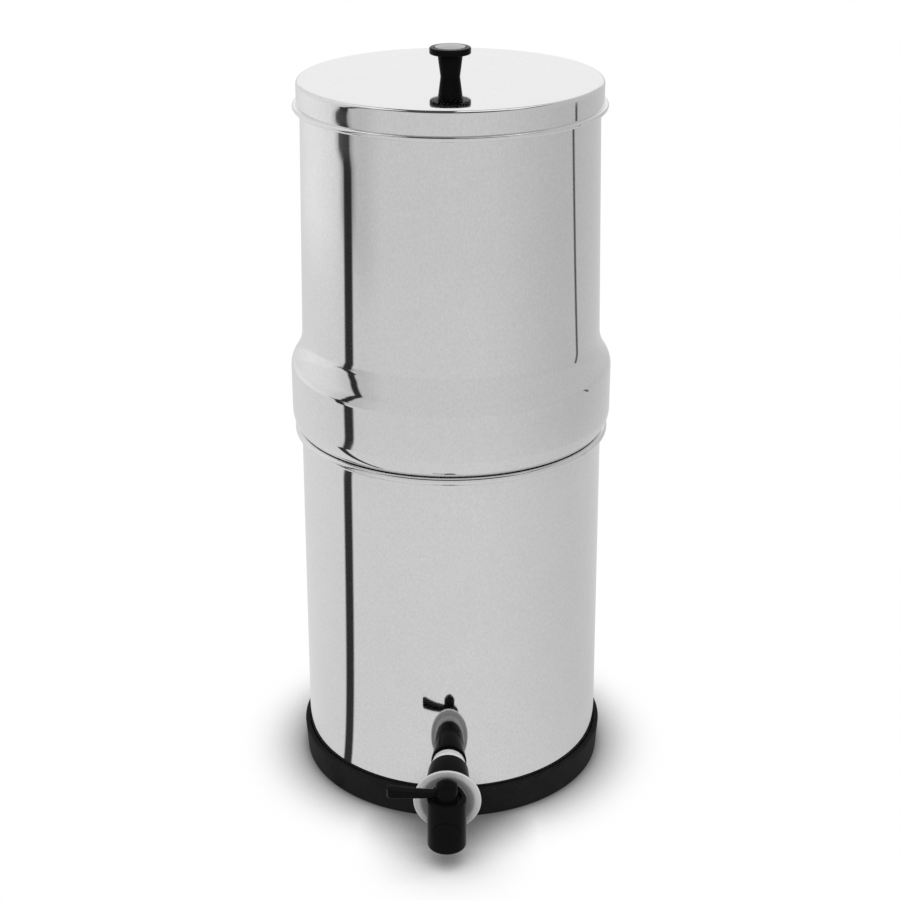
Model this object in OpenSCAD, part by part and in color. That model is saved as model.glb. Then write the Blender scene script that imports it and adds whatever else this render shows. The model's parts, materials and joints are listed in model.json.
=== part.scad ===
// Gravity water filter: an upper chamber with ceramic candles nests on a lower chamber with a lever tap.
// Millimetres, +Z up. The origin is the centre of the base ring's underside, and the tap points along -Y.

/* [Upper chamber] */
// Outer radius at the upper chamber's rim
upper_rim_r = 101; // [99:0.5:104]
// Outer radius of the upper wall where it meets the bulge
upper_low_r = 104.6; // [103:0.1:107]
// Height of the upper chamber, from its ledge to its rim
upper_h = 244; // [225:0.1:270]
// Height of the bulge band, from the ledge to the top of its flare
bulge_h = 70.8; // [60:0.1:85]
// Height of the flare between the wall and the bulge
flare_h = 27.4; // [24:0.2:36]
// How far the bulge stands out past the lower chamber's bead
bulge_overhang = 1.5; // [1.1:0.1:3]
// Share of the flare's width in its upper, hollow arc
flare_share = 0.7; // [0.4:0.02:0.8]
// Radius of the slow turn inwards at the bottom of the bulge
foot_bend_r = 19.8; // [14:0.2:21.4]
// Angle of that turn
foot_bend_a = 33; // [20:1:35]
// Radius of the tight fold under it
foot_round = 3.4; // [2.4:0.1:3.9]
// Depth of the neck and pan that nest in the lower chamber
neck_depth = 24.7; // [20:0.1:30]
// Rounding between the ledge and the neck
neck_round = 1.2; // [1:0.1:1.6]
// Rounding between the neck and the pan
pan_round = 5; // [3:0.5:8]
// Radius of the rolled edge inside the rim
rim_roll_r = 1.6; // [1.2:0.1:2.2]
// Thickness of the stainless sheet
sheet = 0.8; // [0.6:0.1:1.2]

/* [Lower chamber] */
// Outer radius of the lower wall under its bead
lower_top_r = 107; // [106:0.1:108]
// How much wider the lower wall is at its foot
lower_draft = 1.6; // [0:0.1:2.5]
// Height of the lower chamber, from its floor to the top of its bead
lower_h = 263.7; // [240:0.1:280]
// Radius of the rolled bead at the lower rim
lower_bead_r = 2.7; // [2.4:0.1:3.2]
// Rounding at the lower chamber's foot
lower_round = 5; // [3:0.5:7]
// Radius of the raised panel in the floor
floor_panel_r = 84; // [70:1:90]
// Height that the floor panel is raised
floor_panel_rise = 2; // [1:0.5:4]

/* [Seats and clearances] */
// Gap at rest between a lifted piece and the rim that carries it
seat_gap = 0.3; // [0.2:0.05:0.5]
// Radial room between the neck and the lower rim
neck_clearance = 1.2; // [0.8:0.1:2]
// Radial room between the lid's skirt and the wall it covers
lid_clearance = 1.4; // [0.5:0.1:2]
// Radial room between the base ring and the lower wall
ring_clearance = 0.2; // [0.1:0.05:0.4]
// Gap between a seal and the curved wall it is pressed on
seal_gap = 0.05; // [0.02:0.01:0.1]
// Radial room of a plain hole around a stem or screw
hole_clearance = 0.2; // [0.15:0.05:0.3]
// Gap around a piece that is glued or pressed into a recess
glue_gap = 0.3; // [0.2:0.05:0.4]
// Radial room of a nut on its thread
nut_clearance = 0.05; // [0.03:0.01:0.1]
// Radial running clearance of the tap's key
key_clearance = 0.05; // [0.03:0.01:0.08]
// Running clearance of the key's stem, its foot and its square
stem_clearance = 0.1; // [0.06:0.01:0.15]

/* [Base ring] */
// Height of the base ring
ring_h = 23.5; // [18:0.5:26]
// Wall of the base ring
ring_wall = 3.5; // [2.5:0.1:5]
// How much narrower the ring is at its foot than at its top
ring_taper = 1.5; // [0:0.1:3]
// Thickness of the lip under the chamber
ring_lip_t = 3; // [2:0.5:5]
// Width of the lip, inwards from the lower wall
ring_lip_w = 12; // [8:1:20]
// Rounding of the ring's outer edges
ring_round = 1.5; // [0.8:0.1:1.6]

/* [Lid] */
// Height of the lid, with its skirt
lid_h = 19.5; // [15:0.5:26]
// Rounding of the lid's top edge
lid_round = 3; // [2:0.5:5]
// Radius of the rolled bead on the skirt
lid_bead_r = 1.8; // [1.2:0.1:2.2]

/* [Lid knob] */
// Radius of the knob's stem where it meets the lid
knob_foot_r = 6.6; // [6:0.1:8]
// Radius of the knob's stem under its disc
knob_neck_r = 8.5; // [7:0.1:10]
// Height of the knob's stem
knob_stem_h = 15.4; // [12:0.1:20]
// Radius of the knob's disc
knob_disc_r = 14; // [12.5:0.1:18]
// Thickness of the knob's disc
knob_disc_t = 4.4; // [3.8:0.1:6]
// Rounding of the disc's edges
knob_round = 0.9; // [0.5:0.1:1.4]
// Radius of the cap pressed into the disc
knob_cap_r = 10.3; // [9:0.1:11.3]
// Thickness of the cap at its edge
knob_cap_t = 2; // [1.5:0.1:2.4]
// Height of the cap's dome
knob_cap_dome = 0.9; // [0.4:0.1:1.4]
// Radius of the knob's screw
knob_screw_r = 2; // [1.5:0.25:2.5]
// Thickness of the knob's foot under the screw's head
knob_web_t = 5; // [3:0.5:7]
// Thickness of the washer under the lid
knob_washer_t = 0.8; // [0.5:0.1:1.2]

/* [Ceramic candles] */
// Distance of each candle from the middle of the pan
candle_place_r = 52; // [48:1:58]
// Outer radius of the ceramic shell
candle_r = 24; // [20:0.5:25]
// Wall of the ceramic shell
candle_wall = 7; // [5:0.5:9]
// Length of the ceramic shell
candle_h = 172; // [140:1:190]
// Rounding at the top of the ceramic shell
candle_round = 13; // [11:1:18]
// Depth of the plastic cup that holds the shell
candle_cup_h = 14; // [10:0.5:20]
// Wall and floor of the plastic cup
candle_cup_t = 2.4; // [2:0.1:3.5]
// Width of the flange around the cup
candle_flange_w = 2; // [1:0.5:3]

/* [Stems, seals and nuts] */
// Outer radius of the threaded stems
stem_r = 6; // [5:0.25:7]
// Length of the candle's stem below the seal
stem_len = 31; // [26:1:36]
// Length of a blanking plug's stem below the seal
plug_stem_len = 24; // [22:1:30]
// Radius of the water way through a stem
stem_bore_r = 2.5; // [1.5:0.25:3.5]
// Pitch of the threads
thread_pitch = 2; // [1.5:0.25:2.5]
// Depth of the threads
thread_depth = 0.7; // [0.5:0.1:0.9]
// Radius of the rubber seals on the pan
seal_r = 12; // [10:0.5:14]
// Thickness of the rubber seals above the pan
seal_t = 2.5; // [1.5:0.25:3]
// Thickness of the washers below the pan
nut_washer_t = 1.5; // [1:0.25:2]
// Radius of a wing nut's hub
wing_hub_r = 9; // [8.5:0.5:11]
// Height of a wing nut's hub
wing_hub_h = 8; // [6:0.5:10]
// Span of a wing nut's wings
wing_span = 36; // [28:1:42]
// Thickness of a wing
wing_t = 3; // [2.5:0.25:4]
// Height of a wing nut's wings
wing_h = 13; // [10:0.5:15]
// Distance of each blanking plug from the middle of the pan
plug_place_r = 52; // [46:1:70]
// Radius of a blanking plug's head
plug_head_r = 13; // [12:0.5:16]
// Height of a blanking plug's head
plug_head_h = 5; // [4:0.5:8]

/* [Tap line] */
// Height of the tap's outer seal above the base ring
tap_rise = 4.5; // [0.5:0.1:10]
// Outer radius of the tap's threaded shank
shank_r = 8; // [7:0.25:8.5]
// Radius of the water way in the shank
shank_bore_r = 4; // [3.5:0.25:4]
// Length of shank that shows past the lock nut
shank_end = 5; // [3:0.5:8]
// Radius of the seals on both sides of the wall
tap_seal_r = 12.5; // [11.5:0.5:13.5]
// Thickness of the inner seal
inner_seal_t = 3; // [2.5:0.25:4]
// Width across the flats of the lock nut
lock_nut_w = 26; // [24:1:30]
// Thickness of the lock nut
lock_nut_t = 8; // [6:0.5:10]
// Length of the sleeve between the seal and the collar
sleeve_len = 32.4; // [20:0.1:40]
// Radius of the sleeve at the seal
sleeve_back_r = 14.4; // [13:0.1:15.5]
// Radius of the sleeve at the collar
sleeve_front_r = 16.7; // [15.5:0.1:18]
// Rounding of the sleeve's edge at the seal
sleeve_round = 2.5; // [1:0.1:3.5]

/* [Tap collar] */
// Outer radius of the dished collar
collar_r = 23.6; // [21:0.1:26]
// Width of the collar's flat rim
collar_rim_w = 4.6; // [3:0.1:6]
// Thickness of the collar
collar_t = 2; // [1.6:0.1:3]
// Depth of the collar's dish
collar_dish = 3.6; // [2:0.1:6]

/* [Tap body] */
// Radius of the flange that clamps the collar
flange_r = 12.4; // [11.5:0.1:13]
// Thickness of that flange
flange_t = 2.5; // [2:0.1:4]
// Radius of the neck behind the valve housing
tap_neck_r = 9.2; // [8.5:0.1:9.2]
// Gap between the collar's rim and the valve housing
housing_gap = 0.8; // [0.3:0.1:8]
// Outer radius of the valve housing
housing_r = 13.6; // [13:0.1:15]
// Height of the housing above the tap's axis
housing_up = 9.4; // [9.3:0.1:12]
// Depth of the housing below the tap's axis
housing_down = 26.1; // [22:0.1:28]
// Rounding at the housing's foot
housing_foot_round = 2.2; // [1.5:0.1:5]
// Rounding at the housing's top
housing_top_round = 1.5; // [1:0.1:1.8]
// Radius of the outlet
outlet_r = 5.5; // [4:0.25:5.5]
// Radius of the round plug in the housing's face
front_plug_r = 8.8; // [7:0.1:9]
// Depth of that plug's centre below the tap's axis
plug_drop = 8.7; // [0:0.1:9]
// Thickness of the housing's wall behind that plug
plug_wall = 1.2; // [1:0.1:1.8]
// Height that the plug stands proud
plug_proud = 0.25; // [0.1:0.05:0.5]

/* [Tap key and lever] */
// Radius of the rotating key
key_r = 8; // [7.5:0.1:8.2]
// Height of the key above the tap's axis
key_up = 7; // [6.8:0.1:7.1]
// Depth of the key below the tap's axis
key_down = 10; // [9.5:0.1:12]
// Radius of an o-ring's section
o_ring_r = 0.9; // [0.8:0.05:1]
// Distance of each o-ring from the tap's axis
o_ring_z = 5.2; // [5.1:0.1:5.6]
// Radius of the key's stem
key_stem_r = 4.9; // [4.5:0.1:5.2]
// Width of the square that carries the lever
key_square = 6.2; // [5.5:0.1:6.3]
// Depth of the bonnet in the housing
bonnet_in = 2.2; // [1.8:0.1:2.3]
// Width of the ledge that the bonnet stands on
bonnet_ledge = 2.4; // [2:0.1:2.8]
// Thickness of the bonnet's flange
bonnet_t = 1.3; // [1:0.1:2.5]
// Radius of the bonnet's flange
bonnet_r = 12; // [11.5:0.1:12.5]
// Radius of the lever's hub
hub_r = 7.4; // [6:0.1:8]
// Height of the lever's hub
hub_h = 15; // [12:0.1:17]
// Height of the hub's dome
hub_dome = 3.5; // [1:0.1:4]
// Thickness of the hub over the key's square
hub_cap_t = 1.6; // [1:0.1:2.5]
// Reach of the lever from the hub's axis
lever_len = 41; // [32:1:50]
// Width of the lever at the hub
lever_root_w = 6.4; // [5:0.1:8]
// Width of the lever at its end
lever_tip_w = 8.4; // [6:0.1:11]
// Height of the lever's underside above the hub's foot
lever_lift = 2.2; // [1.5:0.1:3]
// Thickness of the lever at the hub
lever_root_t = 3.8; // [3:0.1:5]
// Thickness of the lever at its end
lever_tip_t = 6.6; // [5:0.1:8]

/* [Hidden] */
$fn = 96;

// Small overshoot of a cutter past the face it opens
cut = 1;

// Facets around a rolled bead's section
bead_steps = 24;

// Heights, from the ground up
floor_z = ring_lip_t;
lower_rim_z = floor_z + lower_h;
lower_bead_z = lower_rim_z - lower_bead_r;
lower_foot_z = floor_z + lower_round;
ledge_z = lower_rim_z + seat_gap;
pan_z = ledge_z - neck_depth;
pan_top_z = pan_z + sheet;
flare_z = ledge_z + bulge_h;
rim_z = ledge_z + upper_h;
rim_roll_z = rim_z - rim_roll_r;
lid_top_z = rim_z + seat_gap + sheet;
lid_foot_z = lid_top_z - lid_h;

// Radii of the chambers, the base ring and the lid
lower_low_r = lower_top_r + lower_draft;
lower_bead_place_r = lower_top_r - sheet + lower_bead_r;
bulge_r = lower_bead_place_r + lower_bead_r + bulge_overhang;
neck_r = lower_top_r - sheet - neck_clearance;
ring_in_r = lower_low_r + ring_clearance;
ring_out_r = ring_in_r + ring_wall;
ring_foot_r = ring_out_r - ring_taper;
ring_lip_r = lower_low_r - ring_lip_w;
lid_in_r = upper_wall_r(lid_foot_z) + lid_clearance;
lid_out_r = lid_in_r + sheet;

// The flare is two arcs that meet at an angle of flare_a
flare_w = bulge_r - upper_low_r;
flare_a = 2 * atan(flare_w / flare_h);
flare_hollow_r = flare_share * flare_h / sin(flare_a);
flare_round_r = (1 - flare_share) * flare_h / sin(flare_a);

// The bulge's foot is a slow turn and then a tight fold onto the ledge
foot_h = foot_bend_r * sin(foot_bend_a) + foot_round * (1 - sin(foot_bend_a));
foot_fold_r = bulge_r - foot_bend_r + (foot_bend_r - foot_round) * cos(foot_bend_a);

// Fasteners
knob_nut_w = 3.5 * knob_screw_r;
knob_nut_t = 1.6 * knob_screw_r;
knob_head_r = 1.9 * knob_screw_r;
knob_head_t = 1.5 * knob_screw_r;
knob_washer_r = 3 * knob_screw_r;
stem_hole_r = stem_r + hole_clearance;
shank_hole_r = shank_r + hole_clearance;

// Distances along the tap, outwards from the chambers' axis
tap_z = ring_h + tap_rise + tap_seal_r;
wall_s = lower_wall_r(tap_z);
inner_seal_s = wall_s - sheet - inner_seal_t;
lock_nut_s = inner_seal_s - lock_nut_t;
shank_s = lock_nut_s - shank_end;
sleeve_s = ring_out_r + seat_gap;
tap_seal_t = sleeve_s - wall_s;
collar_s = sleeve_s + sleeve_len;
flange_s = collar_s + collar_t;
valve_s = flange_s + collar_dish + housing_gap + housing_r;
seat_back_r = flange_r + 2 * glue_gap;

// The valve, from the tap's axis upwards
key_bore_r = key_r + key_clearance;
key_bore_down = key_down + stem_clearance;
bonnet_in_r = key_bore_r + bonnet_ledge;
bonnet_in_z = housing_up - bonnet_in;
bonnet_top_z = housing_up + bonnet_t;
hub_z = bonnet_top_z + seat_gap;
key_stem_top = hub_z + 2 * stem_clearance;
key_square_top = hub_z + hub_h - hub_dome - hub_cap_t;
groove_r = key_bore_r - 2 * o_ring_r;

// Outer radius of the upper wall at height z
function upper_wall_r(z) =
    upper_rim_r + (upper_low_r - upper_rim_r) * (rim_roll_z - z) / (rim_roll_z - flare_z);

// Outer radius of the lower wall at height z
function lower_wall_r(z) =
    lower_low_r - lower_draft * (z - lower_foot_z) / (lower_bead_z - lower_foot_z);

// Points on an arc about c, from angle a0 to a1
function arc(c, r, a0, a1, n = 10) =
    [for (i = [0:n]) let (a = a0 + (a1 - a0) * i / n) c + r * [cos(a), sin(a)]];

// The same list from its far end
function back(points) = [for (i = [len(points) - 1:-1:0]) points[i]];

// Turns a profile of radius and height into a solid
module lathe(points) {
    rotate_extrude() polygon(points);
}

// Stands children, drawn along +Z, out along the tap at distance s
module along_tap(s) {
    translate([0, -s, tap_z]) rotate([90, 0, 0]) children();
}

// A ring of height h between two radii
module tube(r_out, r_in, h) {
    lathe([[r_in, 0], [r_out, 0], [r_out, h], [r_in, h]]);
}

// Outline of a rod with ring-shaped threads, from z0 up to z1
function thread_outline(r, z0, z1) = concat(
    [[r - thread_depth, z0]],
    [for (i = [0:floor((z1 - z0) / thread_pitch) - 1], k = [1:3])
        [k == 2 ? r : r - thread_depth, z0 + (i + k / 4) * thread_pitch]],
    [[r - thread_depth, z1]]);

// ---------- Lid ----------

function lid_skin(inset) = concat(
    [[0, lid_top_z - inset]],
    arc([lid_out_r - lid_round, lid_top_z - lid_round], lid_round - inset, 90, 0));

module lid() {
    bead = arc([lid_in_r + lid_bead_r, lid_foot_z + lid_bead_r], lid_bead_r,
        acos(sheet / lid_bead_r - 1), -180, bead_steps);
    color("gainsboro") difference() {
        lathe(concat(lid_skin(0), bead, back(lid_skin(sheet))));
        translate([0, 0, lid_top_z - sheet - cut])
            cylinder(r = knob_screw_r + hole_clearance, h = sheet + 2 * cut);
    }
}

// Height of the cap's seat above the knob's foot
knob_h = knob_stem_h + knob_disc_t;
cap_seat_z = knob_h - knob_cap_t + glue_gap;

module lid_knob() {
    color("black") translate([0, 0, lid_top_z]) difference() {
        lathe(concat(
            [[0, 0], [knob_foot_r, 0]],
            arc([knob_neck_r + knob_round, knob_stem_h - knob_round], knob_round, 180, 90, 5),
            arc([knob_disc_r - knob_round, knob_stem_h + knob_round], knob_round, -90, 0, 5),
            arc([knob_disc_r - knob_round, knob_h - knob_round], knob_round, 0, 90, 5),
            [[0, knob_h]]));
        translate([0, 0, cap_seat_z]) cylinder(r = knob_cap_r + glue_gap, h = knob_h);
        translate([0, 0, knob_web_t]) cylinder(r = knob_head_r + glue_gap, h = knob_h);
        translate([0, 0, -cut]) cylinder(r = knob_screw_r + hole_clearance, h = knob_h);
    }
}

module knob_cap() {
    dome_r = (knob_cap_r * knob_cap_r + knob_cap_dome * knob_cap_dome) / (2 * knob_cap_dome);
    dome_a = asin(knob_cap_r / dome_r);
    color("dimgray") translate([0, 0, lid_top_z + cap_seat_z]) lathe(concat(
        [[0, 0], [knob_cap_r, 0]],
        arc([0, knob_cap_t + knob_cap_dome - dome_r], dome_r, 90 - dome_a, 90)));
}

module knob_screw() {
    color("silver") translate([0, 0, lid_top_z]) {
        translate([0, 0, knob_web_t]) difference() {
            cylinder(r = knob_head_r, h = knob_head_t);
            translate([0, 0, knob_head_t / 2]) cylinder(r = knob_screw_r, h = knob_head_t, $fn = 6);
        }
        translate([0, 0, -sheet - knob_washer_t - knob_nut_t - knob_screw_r / 2])
            cylinder(r = knob_screw_r,
                     h = knob_web_t + sheet + knob_washer_t + knob_nut_t + knob_screw_r / 2);
    }
}

module knob_washer() {
    color("silver") translate([0, 0, lid_top_z - sheet - knob_washer_t])
        tube(knob_washer_r, knob_screw_r + hole_clearance, knob_washer_t);
}

module hex_nut(across, bore_r, h) {
    difference() {
        cylinder(d = across / cos(30), h = h, $fn = 6);
        translate([0, 0, -cut]) cylinder(r = bore_r, h = h + 2 * cut);
    }
}

module knob_nut() {
    color("silver") translate([0, 0, lid_top_z - sheet - knob_washer_t - knob_nut_t])
        hex_nut(knob_nut_w, knob_screw_r + nut_clearance, knob_nut_t);
}

// ---------- Upper chamber ----------

function upper_skin(inset) = concat(
    arc([upper_low_r + flare_hollow_r, flare_z], flare_hollow_r + inset, 180, 180 + flare_a),
    arc([bulge_r - flare_round_r, flare_z - flare_h], flare_round_r - inset, flare_a, 0),
    arc([bulge_r - foot_bend_r, ledge_z + foot_h], foot_bend_r - inset, 0, -foot_bend_a),
    arc([foot_fold_r, ledge_z + foot_round], foot_round - inset, -foot_bend_a, -90, 6),
    arc([neck_r + neck_round, ledge_z - neck_round], neck_round + inset, 90, 180, 6),
    arc([neck_r - pan_round, pan_z + pan_round], pan_round - inset, 0, -90),
    [[0, pan_z + inset]]);

module upper_chamber() {
    roll = arc([upper_rim_r - rim_roll_r, rim_roll_z], rim_roll_r,
        360 - acos(1 - sheet / rim_roll_r), 0, bead_steps);
    color("gainsboro") difference() {
        lathe(concat(upper_skin(0), back(upper_skin(sheet)), roll));
        for (side = [-1, 1]) {
            at_candle(side) translate([0, 0, pan_z - cut]) cylinder(r = stem_hole_r, h = sheet + 2 * cut);
            at_plug(side) translate([0, 0, pan_z - cut]) cylinder(r = stem_hole_r, h = sheet + 2 * cut);
        }
    }
}

// ---------- Ceramic candles ----------

module at_candle(side) {
    translate([side * candle_place_r, 0, 0]) children();
}

seat_top_z = pan_top_z + seal_t;
shell_z = seat_top_z + candle_cup_t;
cup_in_r = candle_r + glue_gap;
cup_out_r = cup_in_r + candle_cup_t;
core_r = candle_r - candle_wall - glue_gap;
core_round = candle_round - candle_wall;

module candle_shell(side) {
    in_r = candle_r - candle_wall;
    in_top = candle_h - candle_wall;
    color("ivory") at_candle(side) translate([0, 0, shell_z]) lathe(concat(
        [[in_r, 0], [candle_r, 0]],
        arc([candle_r - candle_round, candle_h - candle_round], candle_round, 0, 90),
        [[0, candle_h], [0, in_top]],
        arc([in_r - core_round, in_top - core_round], core_round, 90, 0, 6)));
}

module candle_core(side) {
    top = candle_h - candle_wall - glue_gap;
    color("darkslategray") at_candle(side) translate([0, 0, shell_z]) lathe(concat(
        [[0, 0], [core_r, 0]],
        arc([core_r - core_round, top - core_round], core_round, 0, 90, 6),
        [[0, top]]));
}

module candle_base(side) {
    flange_out_r = cup_out_r + candle_flange_w;
    color("white") at_candle(side) translate([0, 0, seat_top_z]) lathe(concat(
        [[stem_bore_r, -stem_len]],
        thread_outline(stem_r, -stem_len, 0),
        [[flange_out_r, 0], [flange_out_r, candle_cup_t], [cup_out_r, candle_cup_t],
         [cup_out_r, candle_cup_h], [cup_in_r, candle_cup_h],
         [cup_in_r, candle_cup_t], [stem_bore_r, candle_cup_t]]));
}

// ---------- Blanking plugs ----------

module at_plug(side) {
    translate([0, side * plug_place_r, 0]) children();
}

module blanking_plug(side) {
    edge_r = plug_head_h / 2;
    color("white") at_plug(side) translate([0, 0, seat_top_z]) lathe(concat(
        [[0, -plug_stem_len]],
        thread_outline(stem_r, -plug_stem_len, 0),
        [[plug_head_r, 0]],
        arc([plug_head_r - edge_r, plug_head_h - edge_r], edge_r, 0, 90, 6),
        [[0, plug_head_h]]));
}

// ---------- Seals and nuts on the pan ----------

module pan_seal() {
    color("dimgray") translate([0, 0, pan_top_z]) tube(seal_r, stem_hole_r, seal_t);
}

module nut_washer() {
    color("white") translate([0, 0, pan_z - nut_washer_t]) tube(seal_r, stem_hole_r, nut_washer_t);
}

module wing_nut(turn) {
    top_z = pan_z - nut_washer_t;
    color("white") translate([0, 0, top_z - wing_hub_h]) rotate([0, 0, turn]) difference() {
        union() {
            cylinder(r = wing_hub_r, h = wing_hub_h);
            intersection() {
                translate([-wing_span / 2, -wing_t / 2, wing_hub_h - wing_h])
                    cube([wing_span, wing_t, wing_h - 1.5]);
                union() for (side = [-1, 1])
                    translate([side * (wing_span / 2 - wing_h / 2), wing_t, wing_hub_h - wing_h / 2])
                        rotate([90, 0, 0]) cylinder(r = wing_h / 2, h = 2 * wing_t);
            }
            translate([-wing_span / 2 + wing_h / 2, -wing_t / 2, 0])
                cube([wing_span - wing_h, wing_t, wing_hub_h - 1.5]);
        }
        translate([0, 0, -cut]) cylinder(r = stem_r + nut_clearance, h = wing_hub_h + 2 * cut);
        translate([-wing_hub_r, -wing_hub_r, -wing_h]) cube([2 * wing_hub_r, 2 * wing_hub_r, wing_h]);
    }
}

// ---------- Lower chamber and base ring ----------

function lower_skin(inset) = concat(
    arc([lower_low_r - lower_round, lower_foot_z], lower_round - inset, 0, -90),
    [[floor_panel_r + floor_panel_rise, floor_z + inset],
     [floor_panel_r, floor_z + floor_panel_rise + inset],
     [0, floor_z + floor_panel_rise + inset]]);

module lower_chamber() {
    bead = arc([lower_bead_place_r, lower_bead_z], lower_bead_r,
        180, -acos(sheet / lower_bead_r - 1), bead_steps);
    color("gainsboro") difference() {
        lathe(concat(lower_skin(0), back(lower_skin(sheet)), bead));
        along_tap(wall_s - shank_r) cylinder(r = shank_hole_r, h = 2 * shank_r);
    }
}

// The space inside the lower wall's outer face, less an inset
module wall_cone(inset) {
    translate([0, 0, lower_foot_z]) cylinder(
        r1 = lower_low_r - inset, r2 = lower_top_r - inset,
        h = lower_bead_z - lower_foot_z, $fn = 360);
}

module base_ring() {
    slope = atan(ring_taper / (ring_h - 2 * ring_round));
    color("black") lathe(concat(
        [[ring_lip_r, 0]],
        arc([ring_foot_r - ring_round, ring_round], ring_round, -90, -slope, 6),
        arc([ring_out_r - ring_round, ring_h - ring_round], ring_round, -slope, 90, 6),
        [[ring_in_r, ring_h], [ring_in_r, ring_lip_t], [ring_lip_r, ring_lip_t]]));
}

// ---------- Tap line through the wall ----------

module tap_outer_seal() {
    color("white") difference() {
        along_tap(wall_s - tap_seal_t) cylinder(r = tap_seal_r, h = 2 * tap_seal_t);
        along_tap(wall_s - 2 * tap_seal_t) cylinder(r = shank_hole_r, h = 4 * tap_seal_t);
        wall_cone(-seal_gap);
    }
}

module tap_inner_seal() {
    color("white") intersection() {
        along_tap(inner_seal_s) difference() {
            cylinder(r = tap_seal_r, h = 2 * inner_seal_t);
            translate([0, 0, -cut]) cylinder(r = shank_hole_r, h = 3 * inner_seal_t);
        }
        wall_cone(sheet + seal_gap);
    }
}

module tap_lock_nut() {
    color("black") along_tap(lock_nut_s) hex_nut(lock_nut_w, shank_r + nut_clearance, lock_nut_t);
}

module tap_sleeve() {
    color("black") along_tap(sleeve_s) lathe(concat(
        [[shank_hole_r, 0]],
        arc([sleeve_back_r - sleeve_round, sleeve_round], sleeve_round, -90, 0, 6),
        [[sleeve_front_r, sleeve_len], [shank_hole_r, sleeve_len]]));
}

module tap_collar() {
    rim_in_r = collar_r - collar_rim_w;
    color("lightgray") along_tap(collar_s) lathe([
        [shank_hole_r, 0], [seat_back_r, 0], [rim_in_r, collar_dish], [collar_r, collar_dish],
        [collar_r, collar_dish + collar_t], [rim_in_r, collar_dish + collar_t],
        [seat_back_r, collar_t], [shank_hole_r, collar_t]]);
}

// ---------- Tap body ----------

// Places children at the valve's axis, level with the tap's axis
module at_valve() {
    translate([0, -valve_s, tap_z]) children();
}

module tap_body() {
    plug_seat = key_bore_r + plug_wall;
    color("black") difference() {
        union() {
            at_valve() lathe(concat(
                [[0, -housing_down]],
                arc([housing_r - housing_foot_round, housing_foot_round - housing_down],
                    housing_foot_round, -90, 0),
                arc([housing_r - housing_top_round, housing_up - housing_top_round],
                    housing_top_round, 0, 90, 5),
                [[0, housing_up]]));
            along_tap(0) lathe(concat(
                [[0, shank_s]],
                thread_outline(shank_r, shank_s, inner_seal_s),
                [[shank_r, inner_seal_s], [shank_r, flange_s], [flange_r, flange_s],
                 [flange_r, flange_s + flange_t], [tap_neck_r, flange_s + flange_t],
                 [tap_neck_r, valve_s], [0, valve_s]]));
        }
        along_tap(shank_s - cut) cylinder(r = shank_bore_r, h = valve_s - shank_s + cut);
        at_valve() {
            translate([0, 0, -key_bore_down]) cylinder(r = key_bore_r, h = 2 * housing_down);
            translate([0, 0, bonnet_in_z]) cylinder(r = bonnet_in_r + nut_clearance, h = housing_up);
            translate([0, 0, -housing_down - cut]) cylinder(r = outlet_r, h = housing_down);
        }
        translate([0, 0, -plug_drop]) along_tap(valve_s + plug_seat)
            cylinder(r = front_plug_r + glue_gap, h = housing_r);
    }
}

module tap_front_plug() {
    plug_seat = key_bore_r + plug_wall;
    color("black") intersection() {
        translate([0, 0, -plug_drop]) along_tap(valve_s + plug_seat)
            cylinder(r = front_plug_r, h = housing_r);
        at_valve() translate([0, 0, -housing_down])
            cylinder(r = housing_r + plug_proud, h = 2 * housing_down);
    }
}

module tap_bonnet() {
    hole_r = key_stem_r + stem_clearance;
    color("black") at_valve() lathe([
        [hole_r, bonnet_in_z], [bonnet_in_r, bonnet_in_z], [bonnet_in_r, housing_up],
        [bonnet_r, housing_up], [bonnet_r, bonnet_top_z], [hole_r, bonnet_top_z]]);
}

// ---------- Key and lever ----------

module tap_key() {
    groove_w = 2 * (o_ring_r + stem_clearance);
    color("white") at_valve() difference() {
        union() {
            translate([0, 0, -key_down]) cylinder(r = key_r, h = key_down + key_up);
            cylinder(r = key_stem_r, h = key_stem_top);
            translate([-key_square / 2, -key_square / 2, 0])
                cube([key_square, key_square, key_square_top]);
        }
        translate([0, 0, -key_down - cut]) cylinder(r = outlet_r, h = key_down + shank_bore_r / 2 + cut);
        rotate([0, 90, 0]) cylinder(r = shank_bore_r, h = 2 * key_r);
        for (side = [-1, 1]) translate([0, 0, side * o_ring_z - groove_w / 2])
            tube(key_r + cut, groove_r, groove_w);
    }
}

module tap_key_seals() {
    color("dimgray") at_valve() for (side = [-1, 1])
        translate([0, 0, side * o_ring_z]) rotate_extrude()
            translate([groove_r + o_ring_r, 0]) circle(o_ring_r - key_clearance / 2, $fn = 32);
}

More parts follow.
